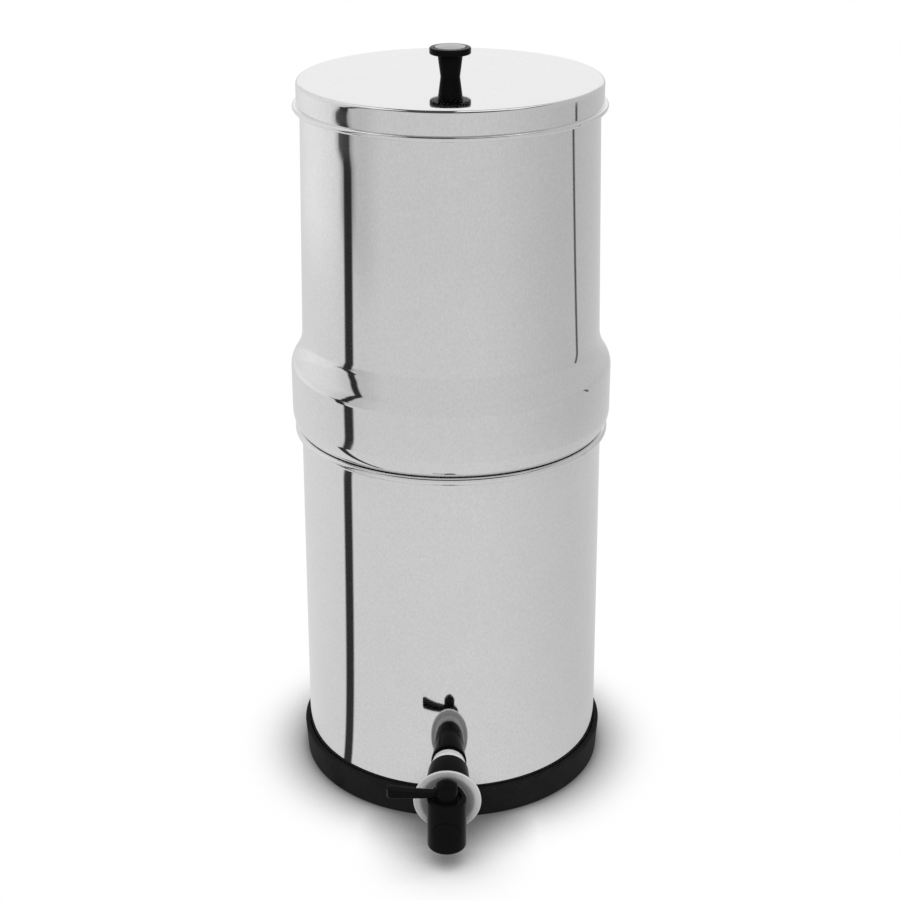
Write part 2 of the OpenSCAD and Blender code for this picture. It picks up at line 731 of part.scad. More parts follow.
module tap_lever() {
    steps = 8;
    dome_r = (hub_r * hub_r + hub_dome * hub_dome) / (2 * hub_dome);
    dome_a = asin(hub_r / dome_r);
    tip_r = lever_tip_w / 2;
    socket = key_square + 2 * stem_clearance;
    color("black") at_valve() translate([0, 0, hub_z]) difference() {
        union() {
            lathe(concat(
                [[0, 0], [hub_r, 0]],
                arc([0, hub_h - dome_r], dome_r, 90 - dome_a, 90)));
            intersection() {
                translate([0, lever_tip_w, lever_lift]) rotate([90, 0, 0])
                    linear_extrude(2 * lever_tip_w) polygon(concat(
                        [[0, 0]],
                        [[0, lever_root_t]],
                        [for (i = [1:steps]) let (f = i / steps)
                            [-f * lever_len, lever_root_t + (lever_tip_t - lever_root_t) * f * f]],
                        [[-lever_len, 0]]));
                linear_extrude(hub_h + lever_tip_t) union() {
                    polygon([
                        [0, -lever_root_w / 2], [0, lever_root_w / 2],
                        [tip_r - lever_len, tip_r], [tip_r - lever_len, -tip_r]]);
                    translate([tip_r - lever_len, 0]) circle(tip_r);
                }
            }
        }
        translate([-socket / 2, -socket / 2, -cut])
            cube([socket, socket, key_square_top + stem_clearance - hub_z + cut]);
        translate([0, 0, -cut]) cylinder(
            r = key_stem_r + stem_clearance, h = key_stem_top + stem_clearance - hub_z + cut);
    }
}

lid();
lid_knob();
knob_cap();
knob_screw();
knob_washer();
knob_nut();
upper_chamber();
candle_shell(-1);  // candle_left_shell
candle_core(-1);  // candle_left_core
candle_base(-1);  // candle_left_base
at_candle(-1) pan_seal();  // candle_left_seal
at_candle(-1) nut_washer();  // candle_left_nut_washer
at_candle(-1) wing_nut(25);  // candle_left_wing_nut
candle_shell(1);  // candle_right_shell
candle_core(1);  // candle_right_core
candle_base(1);  // candle_right_base
at_candle(1) pan_seal();  // candle_right_seal
at_candle(1) nut_washer();  // candle_right_nut_washer
at_candle(1) wing_nut(70);  // candle_right_wing_nut
blanking_plug(-1);  // plug_front
at_plug(-1) pan_seal();  // plug_front_seal
at_plug(-1) nut_washer();  // plug_front_nut_washer
at_plug(-1) wing_nut(-10);  // plug_front_wing_nut
blanking_plug(1);  // plug_back
at_plug(1) pan_seal();  // plug_back_seal
at_plug(1) nut_washer();  // plug_back_nut_washer
at_plug(1) wing_nut(40);  // plug_back_wing_nut
lower_chamber();
base_ring();
tap_outer_seal();
tap_inner_seal();
tap_lock_nut();
tap_sleeve();
tap_collar();
tap_body();
tap_front_plug();
tap_bonnet();
tap_key();
tap_key_seals();
tap_lever();
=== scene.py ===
"""Looks of a gravity water filter: polished steel chambers, a black tap, the stage, light and camera."""
import json
from math import acos, asin, atan, cos, degrees, radians, sin
import bpy
import bmesh
from mathutils import Matrix, Vector


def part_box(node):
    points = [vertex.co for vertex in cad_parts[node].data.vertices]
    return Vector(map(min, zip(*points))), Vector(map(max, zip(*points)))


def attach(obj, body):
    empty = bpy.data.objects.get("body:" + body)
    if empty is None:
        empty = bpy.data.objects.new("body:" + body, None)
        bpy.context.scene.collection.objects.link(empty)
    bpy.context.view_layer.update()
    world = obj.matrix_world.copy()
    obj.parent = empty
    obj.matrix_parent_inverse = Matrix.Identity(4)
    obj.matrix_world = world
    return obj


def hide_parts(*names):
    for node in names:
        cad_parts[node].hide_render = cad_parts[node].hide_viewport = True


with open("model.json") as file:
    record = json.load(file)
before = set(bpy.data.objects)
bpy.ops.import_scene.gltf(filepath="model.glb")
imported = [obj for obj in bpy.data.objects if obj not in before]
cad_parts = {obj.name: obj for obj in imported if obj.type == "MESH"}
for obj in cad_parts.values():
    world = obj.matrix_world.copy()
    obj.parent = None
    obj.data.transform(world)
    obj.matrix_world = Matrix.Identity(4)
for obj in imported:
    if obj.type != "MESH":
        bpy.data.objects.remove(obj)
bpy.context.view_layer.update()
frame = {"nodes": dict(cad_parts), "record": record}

# ---------- Sizes, in millimetres ----------
MM = 0.001

SHEET = 0.8
LID_BEAD = 1.8
LID_ROUND = 3.0
RIM_ROLL = 1.6
UPPER_LOW_R = 104.6
UPPER_RIM_R = 101.0
FLARE_H = 27.4
FLARE_SHARE = 0.7
FLARE_TO_RIM = 173.2
FOOT_BEND_R = 19.8
FOOT_BEND = 33.0
FOOT_ROUND = 3.4
NECK_DEPTH = 24.7
NECK_ROUND = 1.2
PAN_ROUND = 5.0
NECK_GAP = 1.2
LOWER_BEAD = 2.7
LOWER_ROUND = 5.0
LOWER_DRAFT = 1.6
PANEL_R = 84.0
PANEL_RISE = 2.0
STEM_HOLE_R = 6.2
SHANK_HOLE_R = 8.2
SCREW_HOLE_R = 2.2

RING_WALL = 3.5
RING_TAPER = 1.5
RING_ROUND = 1.5
RING_LIP_T = 3.0
RING_LIP_R = 96.6

KNOB_FOOT_R = 6.6
KNOB_NECK_R = 8.5
KNOB_STEM_H = 15.4
KNOB_ROUND = 0.9
KNOB_WEB_T = 5.0
KNOB_HEAD_HOLE_R = 4.1
CAP_GAP = 0.3
CAP_EDGE_T = 2.0

SLEEVE_BACK_R = 14.4
SLEEVE_ROUND = 2.5
COLLAR_T = 2.0
COLLAR_RIM_W = 4.6
COLLAR_SEAT_R = 13.0
TAP_SEAL_GAP = 0.05

FLANGE_R = 12.4
FLANGE_T = 2.5
TAP_NECK_R = 10.5
SHANK_R = 8.0
SHANK_BORE_R = 4.0
THREAD_PITCH = 2.0
THREAD_DEPTH = 0.7
HOUSING_FOOT_ROUND = 2.2
HOUSING_TOP_ROUND = 1.5
OUTLET_R = 5.5
KEY_BORE_R = 8.05
KEY_BORE_DOWN = 10.1
BONNET_SEAT_R = 10.5
BONNET_IN = 2.2
PLUG_HOLE_R = 9.1
PLUG_DROP = 8.7
PLUG_SEAT = 9.25

HUB_R = 7.4
HUB_DOME = 3.5
LEVER_ROOT_W = 6.4
LEVER_TIP_W = 8.4
LEVER_LIFT = 2.2
LEVER_ROOT_T = 3.8
LEVER_TIP_T = 6.6
LEVER_EDGE = 1.0
LEVER_SOCKET = 6.4
LEVER_SOCKET_H = 10.0
KEY_STEM_HOLE_R = 5.0
KEY_STEM_HOLE_H = 0.4

# How many facets go round a turned piece
ROUND = 256
SMALL_ROUND = 128

SLOTS = {part["node"]: part["material_slot"] for part in frame["record"]["subparts"]}
BODY_OF = {node: body for body, nodes in frame["record"]["behaviour"]["bodies"].items()
           for node in nodes}


def box_mm(node):
    """Lowest and highest corner of a CAD node, in millimetres."""
    low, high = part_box(node)
    return low / MM, high / MM


# ---------- Shader maths ----------

class Socket:
    """An output of a shader node that takes part in Python expressions."""

    def __init__(self, finish, link):
        self.finish, self.link = finish, link

    def beside(self, name):
        """Another output of the same node."""
        return Socket(self.finish, self.link.node.outputs[name])

    def _math(self, operation, *values):
        inputs = dict(enumerate(values))
        return self.finish.node("Math", {"operation": operation}, inputs)

    def __add__(self, other):
        return self._math("ADD", self, other)

    def __mul__(self, other):
        return self._math("MULTIPLY", self, other)

    def __sub__(self, other):
        return self._math("SUBTRACT", self, other)

    def __rsub__(self, other):
        return self._math("SUBTRACT", other, self)

    def __truediv__(self, other):
        return self._math("DIVIDE", self, other)

    def __pow__(self, other):
        return self._math("POWER", self, other)

    __radd__ = __add__
    __rmul__ = __mul__

    def absolute(self):
        return self._math("ABSOLUTE", self)

    def angle_to(self, other):
        """Angle of the direction (other, self), in radians."""
        return self._math("ARCTAN2", self, other)

    def step(self, low, high, start=0.0, end=1.0):
        """Eases from start to end while the value goes from low to high."""
        return self.finish.node(
            "MapRange", {"interpolation_type": "SMOOTHSTEP"},
            {"Value": self, "From Min": low, "From Max": high, "To Min": start, "To Max": end})


class Nodes:
    """Adds shader nodes to one material or world."""

    def __init__(self, owner):
        owner.use_nodes = True
        self.owner, self.tree = owner, owner.node_tree
        self.tree.nodes.clear()

    def node(self, kind, settings=None, inputs=None, out=0):
        """Adds a node: its settings first, then the values or links of its sockets."""
        made = self.tree.nodes.new("ShaderNode" + kind)
        for name, value in (settings or {}).items():
            setattr(made, name, value)
        for name, value in (inputs or {}).items():
            if isinstance(value, Socket):
                self.tree.links.new(value.link, made.inputs[name])
            else:
                made.inputs[name].default_value = value
        return Socket(self, made.outputs[out]) if made.outputs else None

    def place(self):
        """Position on the piece, in metres."""
        return self.node("TexCoord", out="Object")

    def noise(self, scale, detail=2.0, stretch=(1, 1, 1), roughness=0.5):
        """Noise from 0 to 1 with a grain of about 1/scale metres."""
        spot = self.node("Mapping", None, {"Vector": self.place(), "Scale": stretch})
        return self.node("TexNoise", None, {"Vector": spot, "Scale": scale, "Detail": detail,
                                            "Roughness": roughness})

    def mix(self, factor, first, second):
        """Blends two colours."""
        return self.node("Mix", {"data_type": "RGBA"},
                         {0: factor, 6: first, 7: second}, out=2)

    def bump(self, height, depth, under=None):
        """Turns a height from 0 to 1 into a normal, for a relief of depth metres."""
        inputs = {"Height": height, "Distance": depth, "Strength": 1.0}
        if under is not None:
            inputs["Normal"] = under
        return self.node("Bump", None, inputs)

    def surface(self, shader):
        """Sends a shader to the output."""
        kind = "OutputWorld" if isinstance(self.owner, bpy.types.World) else "OutputMaterial"
        self.node(kind, None, {"Surface": shader})

    def principled(self, **inputs):
        """Finishes the material with one Principled shader."""
        named = {name.replace("_", " "): value for name, value in inputs.items()}
        self.surface(self.node("BsdfPrincipled", None, named))
        return self.owner


def grey(value, warm=0.0):
    return (value * (1 + warm), value, value * (1 - warm), 1)


# ---------- Finishes ----------

def polished_steel():
    """Bright polished stainless sheet: a mirror with a fine grain and the faint waves of drawn metal."""
    n = Nodes(bpy.data.materials.new("polished_steel"))
    waves = n.noise(14, 1.0)
    grain = n.noise(800, 2.0, stretch=(1, 1, 0.6))
    haze = n.noise(45, 3.0)
    tone = 0.71 + 0.04 * haze + 0.20 * grain
    return n.principled(
        Base_Color=n.mix(tone, grey(0.0), grey(1.0, 0.002)),
        Metallic=1.0,
        Roughness=0.035 + 0.02 * grain + 0.015 * haze,
        Normal=n.bump(grain, 0.0000004, n.bump(waves, 0.00001)))


def fastener_steel():
    n = Nodes(bpy.data.materials.new("fastener_steel"))
    grain = n.noise(900, 3.0)
    return n.principled(
        Base_Color=n.mix(grain, grey(0.55), grey(0.68, 0.01)), Metallic=1.0,
        Roughness=0.24 + 0.16 * grain, Normal=n.bump(grain, 0.00001))


def moulded_plastic(name, rough, grain_depth, shine=0.03, colour=0.004):
    """Injection-moulded plastic with a faint orange-peel skin."""
    n = Nodes(bpy.data.materials.new(name))
    peel = n.noise(380, 2.0)
    pores = n.noise(2200, 2.0)
    wear = n.noise(60, 4.0, roughness=0.6)
    return n.principled(
        Base_Color=n.mix(pores * 0.6 + wear * 0.4, grey(colour * 0.7), grey(colour * 1.7)),
        Roughness=rough + 0.05 * wear + 0.03 * pores,
        Specular_IOR_Level=shine,
        Normal=n.bump(pores, grain_depth, n.bump(peel, grain_depth * 3)))


def black_rubber():
    """Matte rubber with a coarse speckled grain and dust in its pores."""
    n = Nodes(bpy.data.materials.new("black_rubber"))
    grain = n.noise(1300, 4.0, roughness=0.7)
    patches = n.noise(90, 3.0)
    speck = grain.step(0.52, 0.72)
    colour = n.mix(speck * 0.7 + patches * 0.3, grey(0.004), grey(0.030))
    return n.principled(
        Base_Color=colour, Roughness=0.62 + 0.25 * grain,
        Specular_IOR_Level=0.12, Normal=n.bump(grain, 0.00012))


def soft_rubber(name, colour):
    n = Nodes(bpy.data.materials.new(name))
    grain = n.noise(700, 3.0)
    return n.principled(
        Base_Color=n.mix(grain, grey(colour * 0.92), grey(min(1.0, colour * 1.06))),
        Roughness=0.5 + 0.2 * grain, Normal=n.bump(grain, 0.00002))


def pale_plastic(name, colour, rough=0.38):
    """Satin translucent-looking plastic with a fine moulded skin, and painted shade: ambient occlusion
    darkens its base colour in recesses.
    """
    n = Nodes(bpy.data.materials.new(name))
    skin = n.noise(500, 3.0)
    clouds = n.noise(70, 2.0).step(0.1, 0.9, 0.9, 1.0)
    # Painted shade: ambient occlusion within 12 mm darkens the base colour in dishes and recesses, standing
    # in for the shade that falls there.
    shade = n.node("AmbientOcclusion", {"samples": 8}, {"Distance": 0.012}, out="AO").step(0.35, 0.95)
    return n.principled(
        Base_Color=n.mix(clouds * shade, grey(colour * 0.5, 0.004), grey(colour, 0.004)),
        Roughness=rough + 0.12 * skin,
        Subsurface_Weight=0.15, Subsurface_Radius=(0.002, 0.002, 0.002), Subsurface_Scale=1.0,
        Normal=n.bump(skin, 0.00001))


def ceramic():
    """Unglazed filter ceramic: chalky, with pores and faint turning rings."""
    n = Nodes(bpy.data.materials.new("ceramic"))
    pores = n.noise(1500, 4.0)
    rings = n.noise(60, 2.0, stretch=(0.2, 0.2, 8))
    tone = pores * 0.5 + rings * 0.5
    return n.principled(
        Base_Color=n.mix(tone, (0.80, 0.76, 0.68, 1), (0.93, 0.91, 0.86, 1)),
        Roughness=0.8 + 0.15 * pores, Normal=n.bump(pores, 0.00006, n.bump(rings, 0.0001)))


def carbon():
    n = Nodes(bpy.data.materials.new("carbon"))
    grit = n.noise(1800, 5.0, roughness=0.75)
    return n.principled(
        Base_Color=n.mix(grit, grey(0.006), grey(0.05)), Roughness=0.75 + 0.2 * grit,
        Normal=n.bump(grit, 0.0003))


FINISHES = {
    "polished_steel": polished_steel(),
    "fastener_steel": fastener_steel(),
    "black_gloss_plastic": moulded_plastic("black_gloss_plastic", 0.09, 0.000002),
    # The knob cap is black gloss plastic: its shine gives some real reflection, and its grey base colour of
    # 0.24 is painted reflection of the pale studio it mirrors at a grazing angle.
    "knob_cap_gloss": moulded_plastic("knob_cap_gloss", 0.12, 0.000001, shine=0.5, colour=0.24),
    "black_rubber": black_rubber(),
    "grey_rubber": soft_rubber("grey_rubber", 0.10),
    "white_rubber": soft_rubber("white_rubber", 0.80),
    "light_grey_plastic": pale_plastic("light_grey_plastic", 0.62),
    "white_plastic": pale_plastic("white_plastic", 0.80),
    "ceramic": ceramic(),
    "carbon": carbon(),
}


# ---------- Mesh tools ----------

def arc(centre, radius, start, end, steps=16):
    """Points on an arc, with angles in degrees."""
    turn = (end - start) / steps
    return [(centre[0] + radius * cos(radians(start + i * turn)),
             centre[1] + radius * sin(radians(start + i * turn))) for i in range(steps + 1)]


def run(start, end, steps):
    """Points on a straight line."""
    return [(start[0] + (end[0] - start[0]) * i / steps, start[1] + (end[1] - start[1]) * i / steps)
            for i in range(steps + 1)]


def tidy_outline(points, least=0.004):
    """Drops a point that lies on the one before it."""
    kept = []
    for point in points:
        if not kept or (Vector(point) - Vector(kept[-1])).length > least:
            kept.append(point)
    if (Vector(kept[0]) - Vector(kept[-1])).length <= least:
        kept.pop()
    return kept


def lathe(outline, steps=SMALL_ROUND, place=Matrix.Identity(4)):
    """Turns a closed outline of (radius, height), in millimetres, into a bmesh in metres."""
    bm = bmesh.new()
    outline = tidy_outline(outline)
    rings = []
    for radius, height in outline:
        if radius < 1e-6:
            rings.append([bm.verts.new((0, 0, height * MM))])
            continue
        rings.append([bm.verts.new((radius * MM * cos(radians(360 * i / steps)),
                                    radius * MM * sin(radians(360 * i / steps)), height * MM))
                      for i in range(steps)])
    for first, second in zip(rings, rings[1:] + rings[:1]):
        if len(first) == 1 and len(second) == 1:
            continue
        for i in range(steps):
            j = (i + 1) % steps
            if len(first) == 1:
                corners = (first[0], second[j], second[i])
            elif len(second) == 1:
                corners = (first[i], first[j], second[0])
            else:
                corners = (first[i], first[j], second[j], second[i])
            bm.faces.new(corners)
    bmesh.ops.recalc_face_normals(bm, faces=bm.faces)
    bmesh.ops.transform(bm, matrix=place, verts=bm.verts)
    return bm


def as_object(name, bm):
    """Turns a bmesh into an object in the scene."""
    mesh = bpy.data.meshes.new(name)
    bm.to_mesh(mesh)
    bm.free()
    made = bpy.data.objects.new(name, mesh)
    bpy.context.scene.collection.objects.link(made)
    return made


def apply_modifiers(piece):
    """Bakes an object's modifiers into its mesh."""
    graph = bpy.context.evaluated_depsgraph_get()
    mesh = bpy.data.meshes.new_from_object(piece.evaluated_get(graph))
    old, piece.data = piece.data, mesh
    piece.modifiers.clear()
    bpy.data.meshes.remove(old)


def combine(piece, other, operation):
    """Joins or cuts one object with another, which is then removed."""
    change = piece.modifiers.new("cut", "BOOLEAN")
    change.operation, change.object, change.solver = operation, other, "EXACT"
    apply_modifiers(piece)
    bpy.data.objects.remove(other)


def finish_piece(piece, node, sharp=32, stands_for=True):
    """Smooths a piece's shading, gives it its node's finish and body, and hides the node."""
    for face in piece.data.polygons:
        face.use_smooth = True
    piece.data.set_sharp_from_angle(angle=radians(sharp))
    piece.data.materials.clear()
    piece.data.materials.append(FINISHES[SLOTS[node]])
    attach(piece, BODY_OF[node])
    if stands_for:
        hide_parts(node)
    return piece


def eased(corners, steps=6):
    """Outline through corners of (radius, height, easing), each corner eased into a small curve."""
    points = []
    for i, (x, y, ease) in enumerate(corners):
        here = Vector((x, y))
        before = Vector(corners[i - 1][:2]) - here
        after = Vector(corners[(i + 1) % len(corners)][:2]) - here
        reach = min(ease, 0.45 * before.length, 0.45 * after.length)
        if reach < 0.01:
            points.append((x, y))
            continue
        first, last = here + before.normalized() * reach, here + after.normalized() * reach
        for k in range(steps + 1):
            t = k / steps
            point = first * (1 - t) ** 2 + here * 2 * t * (1 - t) + last * t ** 2
            points.append((point.x, point.y))
    return points


def drill_out(piece, outline, steps=64, place=Matrix.Identity(4)):
    """Cuts a turned shape out of a piece."""
    combine(piece, as_object("drill", lathe(outline, steps, place)), "DIFFERENCE")


def rod(radius, start, end):
    """Closed outline of a plain rod."""
    return [(0, start), (radius, start), (radius, end), (0, end)]


# ---------- Steel chambers and lid ----------

def make_lid():
    low, high = box_mm("lid")
    inner = high.x - 2 * LID_BEAD
    outer = inner + SHEET
    corner = (outer - LID_ROUND, high.z - LID_ROUND)
    bead = arc((inner + LID_BEAD, low.z + LID_BEAD), LID_BEAD,
               degrees(acos(SHEET / LID_BEAD - 1)), -180, 40)
    under = high.z - SHEET
    outline = (run((SCREW_HOLE_R, high.z), (corner[0], high.z), 12)
               + arc(corner, LID_ROUND, 90, 0, 20) + bead
               + arc(corner, LID_ROUND - SHEET, 0, 90, 12)
               + run((corner[0], under), (SCREW_HOLE_R, under), 12))
    return finish_piece(as_object("lid_skin", lathe(outline, ROUND)), "lid")


def upper_outline():
    """Closed outline of the upper chamber, from its wall round to its rolled rim."""
    low, high = box_mm("upper_chamber")
    bulge_r = high.x
    ledge = low.z + NECK_DEPTH
    flare_top = high.z - FLARE_TO_RIM
    bend = 2 * atan((bulge_r - UPPER_LOW_R) / FLARE_H)
    hollow_r = FLARE_SHARE * FLARE_H / sin(bend)
    round_r = (1 - FLARE_SHARE) * FLARE_H / sin(bend)
    turn = radians(FOOT_BEND)
    foot_z = ledge + FOOT_BEND_R * sin(turn) + FOOT_ROUND * (1 - sin(turn))
    fold_r = bulge_r - FOOT_BEND_R + (FOOT_BEND_R - FOOT_ROUND) * cos(turn)
    neck_r = box_mm("lower_chamber")[1].x - 2 * LOWER_BEAD - NECK_GAP
    roll = (UPPER_RIM_R - RIM_ROLL, high.z - RIM_ROLL)

    def skin(inset, steps=24):
        wall = run((UPPER_RIM_R - inset, roll[1]), (UPPER_LOW_R - inset, flare_top), 10)
        return (wall
                + arc((UPPER_LOW_R + hollow_r, flare_top), hollow_r + inset, 180, 180 + degrees(bend), steps)
                + arc((bulge_r - round_r, flare_top - FLARE_H), round_r - inset, degrees(bend), 0, steps)
                + arc((bulge_r - FOOT_BEND_R, foot_z), FOOT_BEND_R - inset, 0, -FOOT_BEND, steps)
                + arc((fold_r, ledge + FOOT_ROUND), FOOT_ROUND - inset, -FOOT_BEND, -90, 16)
                + arc((neck_r + NECK_ROUND, ledge - NECK_ROUND), NECK_ROUND + inset, 90, 180, 10)
                + arc((neck_r - PAN_ROUND, low.z + PAN_ROUND), PAN_ROUND - inset, 0, -90, 14)
                + run((neck_r - PAN_ROUND, low.z + inset), (0, low.z + inset), 10))

    rim = arc(roll, RIM_ROLL, 360 - degrees(acos(1 - SHEET / RIM_ROLL)), 0, 32)
    return skin(0) + skin(SHEET)[::-1] + rim


def make_upper_chamber():
    piece = as_object("upper_chamber_skin", lathe(upper_outline(), ROUND))
    low = box_mm("upper_chamber")[0]
    for node in ("candle_left_seal", "candle_right_seal", "plug_front_seal", "plug_back_seal"):
        seal_low, seal_high = box_mm(node)
        centre = (seal_low + seal_high) / 2
        at = Matrix.Translation(Vector((centre.x, centre.y, 0)) * MM)
        drill_out(piece, rod(STEM_HOLE_R, low.z - 2, low.z + 3), 48, at)
    return finish_piece(piece, "upper_chamber")


def lower_outline():
    """Closed outline of the lower chamber, from under its bead round to the bead."""
    low, high = box_mm("lower_chamber")
    bead = (high.x - LOWER_BEAD, high.z - LOWER_BEAD)
    top_r = bead[0] - LOWER_BEAD + SHEET
    low_r = top_r + LOWER_DRAFT
    foot = low.z + LOWER_ROUND

    def skin(inset):
        wall = run((top_r - inset, bead[1]), (low_r - inset, foot), 22)
        return (wall + arc((low_r - LOWER_ROUND, foot), LOWER_ROUND - inset, 0, -90, 14)
                + [(PANEL_R + PANEL_RISE, low.z + inset), (PANEL_R, low.z + PANEL_RISE + inset),
                   (0, low.z + PANEL_RISE + inset)])

    rim = arc(bead, LOWER_BEAD, 180, -degrees(acos(SHEET / LOWER_BEAD - 1)), 44)
    return skin(0) + skin(SHEET)[::-1] + rim


def along_tap(distance):
    """Stands +Z out along the tap, at a distance from the chambers' axis."""
    tap_low, tap_high = box_mm("tap_collar")
    height = (tap_low.z + tap_high.z) / 2
    return Matrix.Translation(Vector((0, -distance, height)) * MM) @ Matrix.Rotation(radians(90), 4, "X")


def make_lower_chamber():
    piece = as_object("lower_chamber_skin", lathe(lower_outline(), ROUND))
    drill_out(piece, rod(SHANK_HOLE_R, 95, 115), 64, along_tap(0))
    return finish_piece(piece, "lower_chamber")


def make_base_ring():
    high = box_mm("base_ring")[1]
    outer = high.x
    slope = degrees(atan(RING_TAPER / (high.z - 2 * RING_ROUND)))
    outline = ([(RING_LIP_R, 0.4), (RING_LIP_R + 0.4, 0)]
               + arc((outer - RING_TAPER - RING_ROUND, RING_ROUND), RING_ROUND, -90, -slope, 12)
               + arc((outer - RING_ROUND, high.z - RING_ROUND), RING_ROUND, -slope, 90, 14)
               + [(outer - RING_WALL + 0.3, high.z), (outer - RING_WALL, high.z - 0.3),
                  (outer - RING_WALL, RING_LIP_T), (RING_LIP_R, RING_LIP_T)])
    return finish_piece(as_object("base_ring_skin", lathe(outline, ROUND)), "base_ring")


# ---------- Knob ----------

def make_knob():
    """Knob with a waisted stem, a flat disc and a recess for its cap."""
    low, high = box_mm("lid_knob")
    stem_top, disc_r = low.z + KNOB_STEM_H, high.x
    cap_low, cap_high = box_mm("knob_cap")
    seat = cap_low.z
    hole_r = cap_high.x + CAP_GAP
    outline = ([(SCREW_HOLE_R, low.z), (KNOB_FOOT_R, low.z)]
               + arc((KNOB_NECK_R + KNOB_ROUND, stem_top - KNOB_ROUND), KNOB_ROUND, 180, 90, 10)
               + arc((disc_r - KNOB_ROUND, stem_top + KNOB_ROUND), KNOB_ROUND, -90, 0, 12)
               + arc((disc_r - KNOB_ROUND, high.z - KNOB_ROUND), KNOB_ROUND, 0, 90, 12)
               + [(hole_r + 0.25, high.z), (hole_r, high.z - 0.25), (hole_r, seat),
                  (KNOB_HEAD_HOLE_R, seat), (KNOB_HEAD_HOLE_R, low.z + KNOB_WEB_T),
                  (SCREW_HOLE_R, low.z + KNOB_WEB_T)])
    return finish_piece(as_object("lid_knob_skin", lathe(outline)), "lid_knob", 45)


def make_knob_cap():
    low, high = box_mm("knob_cap")
    edge = low.z + CAP_EDGE_T
    dome = high.z - edge
    dome_r = (high.x ** 2 + dome ** 2) / (2 * dome)
    reach = degrees(asin(high.x / dome_r))
    outline = [(0, low.z), (high.x, low.z)] + arc((0, high.z - dome_r), dome_r, 90 - reach, 90, 16)
    return finish_piece(as_object("knob_cap_skin", lathe(outline)), "knob_cap", 45)


# ---------- Tap ----------

def make_outer_seal():
    """White seal, hollowed to the curve of the lower wall."""
    low, high = box_mm("tap_outer_seal")
    near, far = -high.y, -low.y
    corners = [(SHANK_HOLE_R, near, 0), (high.x, near, 0), (high.x, far, 0.5), (SHANK_HOLE_R, far, 0)]
    piece = as_object("tap_outer_seal_skin", lathe(eased(corners), place=along_tap(0)))
    chamber = box_mm("lower_chamber")
    top_z = chamber[1].z - LOWER_BEAD
    top_r = chamber[1].x - 2 * LOWER_BEAD + SHEET + TAP_SEAL_GAP
    foot_z = chamber[0].z + LOWER_ROUND
    cone = [(0, foot_z), (top_r + LOWER_DRAFT, foot_z), (top_r, top_z), (0, top_z)]
    drill_out(piece, cone, ROUND)
    return finish_piece(piece, "tap_outer_seal")


def make_sleeve():
    low, high = box_mm("tap_sleeve")
    near, far = -high.y, -low.y
    outline = ([(SHANK_HOLE_R, near)]
               + arc((SLEEVE_BACK_R - SLEEVE_ROUND, near + SLEEVE_ROUND), SLEEVE_ROUND, -90, 0, 14)
               + [(high.x - 0.05, far - 0.6), (high.x - 0.2, far - 0.15), (high.x - 0.5, far),
                  (SHANK_HOLE_R, far)])
    return finish_piece(as_object("tap_sleeve_skin", lathe(outline, place=along_tap(0))), "tap_sleeve")


def make_collar():
    """Dished collar with a flat rim."""
    low, high = box_mm("tap_collar")
    near, far, out_r = -high.y, -low.y, high.x
    rim_r = out_r - COLLAR_RIM_W
    corners = [(SHANK_HOLE_R, near, 0), (COLLAR_SEAT_R, near, 0.5), (rim_r, far - COLLAR_T, 1.2),
               (out_r, far - COLLAR_T, 0.9), (out_r, far, 0.9), (rim_r, far, 1.2),
               (COLLAR_SEAT_R, near + COLLAR_T, 0.5), (SHANK_HOLE_R, near + COLLAR_T, 0)]
    piece = as_object("tap_collar_skin", lathe(eased(corners), place=along_tap(0)))
    return finish_piece(piece, "tap_collar", 50)


def valve_place():
    """The valve's axis, level with the tap's axis, and the housing's radius."""
    low, high = box_mm("tap_body")
    return Matrix.Translation(Vector((0, low.y + high.x, along_tap(0).translation.z / MM)) * MM), high.x


def make_tap_body():
    """Housing with its neck, clamping flange and threaded shank, hollow for the key and the water."""
    low, high = box_mm("tap_body")
    at_valve, radius = valve_place()
    level = at_valve.translation.z / MM
    up, down = high.z - level, level - low.z
    outline = ([(0, -down)]
               + arc((radius - HOUSING_FOOT_ROUND, HOUSING_FOOT_ROUND - down), HOUSING_FOOT_ROUND, -90, 0, 14)
               + arc((radius - HOUSING_TOP_ROUND, up - HOUSING_TOP_ROUND), HOUSING_TOP_ROUND, 0, 90, 10)
               + [(0, up)])
    piece = as_object("tap_body_skin", lathe(outline, place=at_valve))
    shank = -high.y
    seal = -box_mm("tap_inner_seal")[1].y
    flange = -box_mm("tap_collar")[1].y + COLLAR_T
    valve = -at_valve.translation.y / MM
    thread = [(SHANK_R - THREAD_DEPTH, shank)]
    for i in range(int((seal - shank) / THREAD_PITCH)):
        for k in (1, 2, 3):
            thread.append((SHANK_R if k == 2 else SHANK_R - THREAD_DEPTH,
                           shank + (i + k / 4) * THREAD_PITCH))
    thread += [(SHANK_R - THREAD_DEPTH, seal), (SHANK_R, seal), (SHANK_R, flange)]
    stalk = ([(0, shank)] + thread
             + [(FLANGE_R - 0.4, flange), (FLANGE_R, flange + 0.4), (FLANGE_R, flange + FLANGE_T - 0.5),
                (FLANGE_R - 0.5, flange + FLANGE_T), (TAP_NECK_R, flange + FLANGE_T),
                (TAP_NECK_R, valve), (0, valve)])
    combine(piece, as_object("stalk", lathe(stalk, place=along_tap(0))), "UNION")
    drill_out(piece, rod(SHANK_BORE_R, shank - 1, valve), 48, along_tap(0))
    seat = up - BONNET_IN
    core = [(0, -down - 1), (OUTLET_R, -down - 1), (OUTLET_R, -KEY_BORE_DOWN), (KEY_BORE_R, -KEY_BORE_DOWN),
            (KEY_BORE_R, seat), (BONNET_SEAT_R, seat), (BONNET_SEAT_R, up + 1), (0, up + 1)]
    drill_out(piece, core, 96, at_valve)
    recess = Matrix.Translation((0, 0, -PLUG_DROP * MM)) @ along_tap(0)
    drill_out(piece, rod(PLUG_HOLE_R, valve + PLUG_SEAT, valve + radius + 1), 96, recess)
    return finish_piece(piece, "tap_body")


